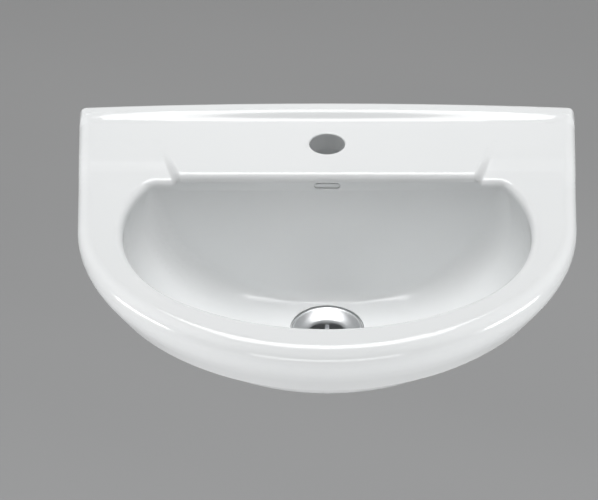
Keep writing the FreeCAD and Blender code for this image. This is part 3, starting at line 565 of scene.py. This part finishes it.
def hexNut(name, flats, low, high, bore, facing=0.97, slope=30, sink=0.0006):
    # a hexagonal prism cut to a turned blank: facing is the flat ring's share of the flats, slope
    # the corners' chamfer in degrees and sink the depth of the bore's countersinks
    corner = flats / math.sqrt(3)
    face = flats / 2 * facing
    drop = (corner - face) * math.tan(math.radians(slope))
    reach = corner * 1.02      # clear of the corners
    blank = lathe("blank", [
        (bore + sink, low), (face, low), (reach, low + drop), (reach, high - drop),
        (face, high), (bore + sink, high), (bore, high - sink), (bore, low + sink),
    ])
    nut = addRod(corner, low, high, 6)
    nut.name = name
    carve(nut, blank, "INTERSECT")
    return nut


def putInPlace(piece, where, towardsRoom=False):
    # moves a piece that was modelled along Z; towardsRoom turns its Z to face the room
    onlySelect(piece)
    piece.rotation_euler = (math.radians(90) if towardsRoom else 0, 0, 0)
    piece.location = where
    bpy.ops.object.transform_apply(location=True, rotation=True, scale=True)


# the slotted waste: a dished flange, a cross in its throat and a threaded tail
wasteSetup = {
    "axis": (0.0, -0.19, 0.0),
    "dish": [                  # radii and heights of the flange and throat, from the tail's foot up
        (0.0197, -0.0600), (0.0209, -0.0595), (0.0209, -0.0412), (0.0349, -0.0339),
        (0.0350, -0.0334), (0.0348, -0.0326), (0.0342, -0.0321), (0.0334, -0.0320),
        (0.0325, -0.0322), (0.0316, -0.0327), (0.0290, -0.0343), (0.0255, -0.0358),
        (0.0225, -0.0368), (0.0206, -0.0376), (0.0196, -0.0383), (0.0191, -0.0391),
        (0.0189, -0.0402), (0.0189, -0.0484), (0.0183, -0.0489), (0.0165, -0.0492),
    ],
    "tail": (0.0165, 0.0197, 0.0006),  # bore, outside and chamfer of the tail's foot
    "thread": {"root": 0.0193, "crest": 0.0208, "pitch": 0.0022, "bore": 0.0185},
    "threadEnds": (0.0012, -0.0620),   # above the tail's foot, and a height
    "bar": (0.0194, 0.0022, -0.0462, -0.0426, 0.0006),     # reach, half width, foot, top, bevel
    "window": (0.0090, 0.03, -0.0570, -0.0505),            # half width, reach, foot and top
    "nut": {"flats": 0.055, "bore": 0.0211},
    "shade": 32,
}


def makeWaste(setup):
    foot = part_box("waste_body")[0][2]
    bore, root, bevel = setup["tail"]
    tail = [(bore, foot + bevel), (bore + bevel, foot), (root - bevel, foot), (root, foot + bevel)]
    body = lathe("wasteBody", tail + setup["dish"])
    reach, half, low, top, bevel = setup["bar"]
    bars = [addBlock((-reach, -half, low), (reach, half, top), bevel),
            addBlock((-half, -reach, low), (half, reach, top), bevel)]
    for bar in bars:
        carve(body, bar, "UNION")
    half, reach, low, top = setup["window"]
    carve(body, addBlock((-half, -reach, low), (half, reach, top)), "DIFFERENCE")
    above, end = setup["threadEnds"]
    joinTo(body, thread("tailThread", low=foot + above, high=end, sides=96, **setup["thread"]))
    putInPlace(body, setup["axis"])
    shadeByAngle(body, setup["shade"])
    return body


def makeWasteNut(setup):
    (_, _, low), (_, _, high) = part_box("waste_backnut")
    nut = hexNut("wasteNut", low=low, high=high, **setup["nut"])
    putInPlace(nut, setup["axis"])
    shadeByAngle(nut, setup["shade"])
    return nut


# the two fixings that hang the basin: each bolt, nut and plug lies along Y
fixingSetup = {
    "bolt": {"root": 0.0043, "crest": 0.0050, "pitch": 0.0015},
    "boltEnds": (-0.0020, 0.0380),     # from inside the wall to where it stands out from it
    # radii and heights of the part that bites in the plug, from the tip up
    "shank": [(0.0006, -0.0715), (0.0020, -0.0690), (0.0038, -0.0620), (0.0046, -0.0560),
              (0.0046, -0.0030), (0.0042, -0.0015)],
    "tip": 0.0005,
    "nut": {"flats": 0.017, "bore": 0.0051},
    "plug": {"bore": 0.0053, "collar": 0.0085, "root": 0.0063, "crest": 0.0070, "ribs": 11},
    "collar": -0.0010,         # depth of the plug's collar
    "ribEnds": (-0.0030, 0.0070),      # first rib, and the last one's height above the foot
    "ribShape": (0.35, 0.45),  # how much of a rib's pitch its crest and its slope take
    "taper": 0.0007,           # how much the plug's foot draws in
    "slot": (0.0010, 0.009, -0.0710, -0.0280),     # half width, reach, foot and top
    "shade": 32,
}
sides = ("left", "right")


def makeBolt(name, setup):
    low, high = setup["boltEnds"]
    rod = thread(name, low=low, high=high, sides=36, **setup["bolt"])
    onAxis, shank = mergeWithin / 10, setup["shank"]
    outline = [(onAxis, shank[0][1] - setup["tip"]), *shank, (onAxis, shank[-1][1])]
    return joinTo(rod, lathe("shank", outline, 36, solid=True))


def makePlug(name, setup, foot):
    plug, collar = setup["plug"], setup["collar"]
    bore, root, crest, ribs = (plug[key] for key in ("bore", "root", "crest", "ribs"))
    first, last = setup["ribEnds"][0], foot + setup["ribEnds"][1]
    pitch = (first - last) / ribs
    flat, slope = setup["ribShape"]
    outline = [(bore, 0), (plug["collar"], 0), (plug["collar"], collar), (root, collar)]
    for rib in range(ribs):
        height = first - rib * pitch
        outline += [(crest, height), (crest, height - flat * pitch), (root, height - slope * pitch)]
    outline += [(root, last), (root - setup["taper"], foot), (bore, foot)]
    body = lathe(name, outline, 48)
    half, reach, low, high = setup["slot"]
    for x, y in ((half, reach), (reach, half)):
        carve(body, addBlock((-x, -y, low), (x, y, high)), "DIFFERENCE")
    return body


def makeFixings(setup):
    made = {}
    for side in sides:
        # a height along the fixing is a distance from the wall into the room, so -Y
        nutLow, nutHigh = (-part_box(side + "_nut")[n][1] for n in (1, 0))
        foot = -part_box(side + "_wall_plug")[1][1]
        pieces = {
            "bolt": makeBolt(side + "Bolt", setup),
            "nut": hexNut(side + "Nut", low=nutLow, high=nutHigh, **setup["nut"]),
            "plug": makePlug(side + "Plug", setup, foot),
        }
        axis = sum((Vector(corner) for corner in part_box(side + "_hanger_bolt")), Vector()) / 2
        for kind, piece in pieces.items():
            putInPlace(piece, (axis.x, 0, axis.z), towardsRoom=True)
            shadeByAngle(piece, setup["shade"])
            made[side, kind] = piece
    return made


# the finishes: fired glaze, metals, rubber and nylon
glazeSetup = {
    "white": (0.845, 0.858, 0.862),
    "worn": (0.80, 0.82, 0.825),    # where the glaze lies thinner
    "thinner": (0.55, 0.35, 0.5),   # edge, softness and share of those clouds
    "bisque": (0.80, 0.775, 0.73),  # bare clay at the foot and on the wall face
    "grog": 0.88,                   # tone of the clay's darker grains
    "gloss": 0.14,
    "glossDrift": 0.03,
    "matt": 0.62,
    # patterns per metre
    "cloud": 7.0,
    "grain": 900.0,
    "ripple": 22.0,
    "wallFace": (-0.0008, 0.0004),  # where the bare clay starts, and how softly
    "foot": (-0.0603, 0.0003),
    "relief": (0.4, 0.3),           # height of the ripple and of the grain
    "bump": (0.15, 0.0006),
}


def glazedWhite(setup):
    finish = Finish("glazedWhite")
    place = finish.place()
    y, z = finish.axes(place, "YZ")
    cloud = finish.noise(place, setup["cloud"], 2.0)
    grain = finish.noise(place, setup["grain"], 2.0)
    ripple = finish.noise(place, setup["ripple"], 1.0)
    bare = finish.greater(y.over(*setup["wallFace"]), 1 - z.over(*setup["foot"]))
    edge, soft, share = setup["thinner"]
    white = finish.blend(cloud.over(edge, soft) * share, setup["white"], setup["worn"])
    darkClay = tuple(setup["grog"] * c for c in setup["bisque"])
    clay = finish.blend(grain, setup["bisque"], darkClay)
    rough = setup["gloss"] + cloud * setup["glossDrift"]
    waves, grains = setup["relief"]
    height = ripple * waves + grain * bare * grains
    return finish.done(Base_Color=finish.blend(bare, white, clay),
                       Roughness=rough + bare * (setup["matt"] - setup["gloss"]),
                       Normal=finish.bump(height, *setup["bump"]))


metalSetup = {
    # slot: name, tone, darker tone, roughness and its drift, clouds per metre, depth of the marks
    "chrome_plate": ("chromePlate", (0.60, 0.61, 0.62), (0.54, 0.55, 0.56), 0.32, 0.08, 60, 1e-5),
    "brass_nut": ("turnedBrass", (0.72, 0.53, 0.24), (0.60, 0.42, 0.17), 0.22, 0.18, 120, 6e-5),
    "zinc_steel": ("zincSteel", (0.62, 0.63, 0.62), (0.50, 0.51, 0.50), 0.28, 0.16, 150, 5e-5),
}


def metalFinish(name, colour, darker, rough, spread, scale, depth):
    # a metal whose tone and gloss drift a little, with fine marks from turning or plating
    finish = Finish(name)
    place = finish.place()
    cloud = finish.noise(place, scale, 4.0, 0.6)
    fine = finish.noise(place, scale * 9, 2.0)
    return finish.done(Base_Color=finish.blend(cloud.over(0.5, 0.3), colour, darker), Metallic=1.0,
                       Roughness=rough + cloud * spread,
                       Normal=finish.bump(fine, 0.2, depth))


softSetup = {
    # slot: name, tone, other tone, roughness, grains per metre and their depth
    "seal_rubber": ("sealRubber", (0.022, 0.022, 0.024), (0.035, 0.035, 0.037), 0.55, 700, 8e-5),
    "white_nylon": ("whiteNylon", (0.78, 0.78, 0.75), (0.72, 0.72, 0.69), 0.38, 500, 4e-5),
    "grey_nylon": ("greyNylon", (0.30, 0.31, 0.33), (0.25, 0.26, 0.28), 0.42, 500, 4e-5),
}


def softFinish(name, colour, darker, rough, scale, depth):
    # rubber or nylon: an even colour with moulded grain
    finish = Finish(name)
    place = finish.place()
    cloud = finish.noise(place, scale * 0.1, 3.0)
    grain = finish.noise(place, scale, 3.0, 0.6)
    return finish.done(Base_Color=finish.blend(cloud, colour, darker),
                       Roughness=rough + grain * 0.12,
                       Normal=finish.bump(grain, 0.3, depth))


finishes = {"glazed_vitreous": glazedWhite(glazeSetup)}
for setups, makeFinish in ((metalSetup, metalFinish), (softSetup, softFinish)):
    for slot, values in setups.items():
        finishes[slot] = makeFinish(*values)
print("finishes made")

waste = makeWaste(wasteSetup)
wasteNut = makeWasteNut(wasteSetup)
print("waste made")
fixings = makeFixings(fixingSetup)
print("fixings made")

# which new piece stands for which node
settle(basin, "glazed_vitreous", "basin")
settle(waste, "chrome_plate", "waste_body")
settle(wasteNut, "brass_nut", "waste_backnut")
fixingNodes = {"bolt": "hanger_bolt", "nut": "nut", "plug": "wall_plug"}
for (side, kind), piece in fixings.items():
    slot = "grey_nylon" if kind == "plug" else "zinc_steel"
    settle(piece, slot, f"{side}_{fixingNodes[kind]}")

# nodes whose shape is right keep it and take a finish
for side in sides:
    dress(side + "_bush", "white_nylon")
    dress(side + "_washer", "zinc_steel")
dress("waste_friction_washer", "white_nylon")
dress("waste_top_seal", "seal_rubber")
dress("waste_lower_seal", "seal_rubber")
print("pieces dressed")

# the studio: a grey floor with painted light, a pale sky and soft lamps
studioSetup = {
    "floorHeight": -0.755,
    "floorSize": 14.0,
    "floor": (0.365, 0.368, 0.372),
    # the floor's colour where painted light makes it paler
    "floorPaintedLit": (0.46, 0.462, 0.464),
    "fade": (1.1, 0.7),            # where the painted light makes the floor paler behind the object, and how softly
    "streak": ((0.5, 0.8), (0.2, 0.4)),    # lays the floor's clouds of painted light along a slant
    "cloud": (1.6, 0.5, 0.25),     # clouds of painted light per metre, edge and softness
    "shares": (0.7, 0.3),          # how much the painted fade and the painted clouds of light tell
    "sky": 0.15,
    "seenSky": 0.32,
    "lamps": [
        # name, place, width and height, watts
        ("topLamp", (0.0, 0.35, 2.4), (1.8, 1.4), 54.0),
        ("fillLamp", (0.0, -3.2, 1.6), (1.8, 1.8), 6.0),
        ("frontLamp", (0.0, -3.0, -0.35), (3.0, 0.75), 33.0),
        ("leftLamp", (-2.8, -0.9, -0.3), (1.4, 0.7), 41.0),
        ("rightLamp", (2.8, -0.9, -0.3), (1.4, 0.7), 41.0),
    ],
    "aim": (0, -0.2, 0),
}


def addLamp(name, place, size, power, aim):
    data = bpy.data.lights.new(name, "AREA")
    data.shape, data.energy = "RECTANGLE", power
    data.size, data.size_y = size
    lamp = bpy.data.objects.new(name, data)
    bpy.context.collection.objects.link(lamp)
    lamp.location = place
    lamp.rotation_euler = (Vector(aim) - Vector(place)).to_track_quat("-Z", "Y").to_euler()


def makeFloor(setup):
    bpy.ops.object.select_all(action="DESELECT")
    where = (0, 0, setup["floorHeight"])
    bpy.ops.mesh.primitive_plane_add(size=setup["floorSize"], location=where)
    floor = bpy.context.active_object
    floor.name = "studioFloor"
    bpy.ops.object.transform_apply(location=True, rotation=True, scale=True)
    finish = Finish("studioGrey")
    x, y = finish.axes(finish.place(), "XY")
    (a, b), (c, d) = setup["streak"]
    streak = finish.node("ShaderNodeCombineXYZ", None, {"X": x * a + y * b, "Y": x * c - y * d})
    scale, edge, soft = setup["cloud"]
    cloud = finish.noise(streak, scale, 2.0)
    fadeShare, cloudShare = setup["shares"]
    # painted light: the floor is painted paler behind the object and in slanted clouds
    paler = y.over(*setup["fade"]) * fadeShare + cloud.over(edge, soft) * cloudShare
    tone = finish.blend(paler, setup["floor"], setup["floorPaintedLit"])
    floor.data.materials.append(finish.done(Base_Color=tone, Roughness=0.9))


def makeSky(setup):
    # the sky is seen, directly or in metal, as a paler grey than it lights with
    sky = Finish("studioSky", "worlds", "BACKGROUND")
    path = sky.node("ShaderNodeLightPath")
    seen = path.part("Is Camera Ray")
    for ray in ("Is Glossy Ray", "Is Transmission Ray"):
        seen = sky.greater(seen, path.part(ray))
    strength = sky.node("ShaderNodeMapRange", None,
                        {"Value": seen, "To Min": setup["sky"], "To Max": setup["seenSky"]})
    bpy.context.scene.world = sky.done(Color=(1, 1, 1), Strength=strength)


makeFloor(studioSetup)
makeSky(studioSetup)
for lamp in studioSetup["lamps"]:
    addLamp(*lamp, studioSetup["aim"])
print("studio ready")
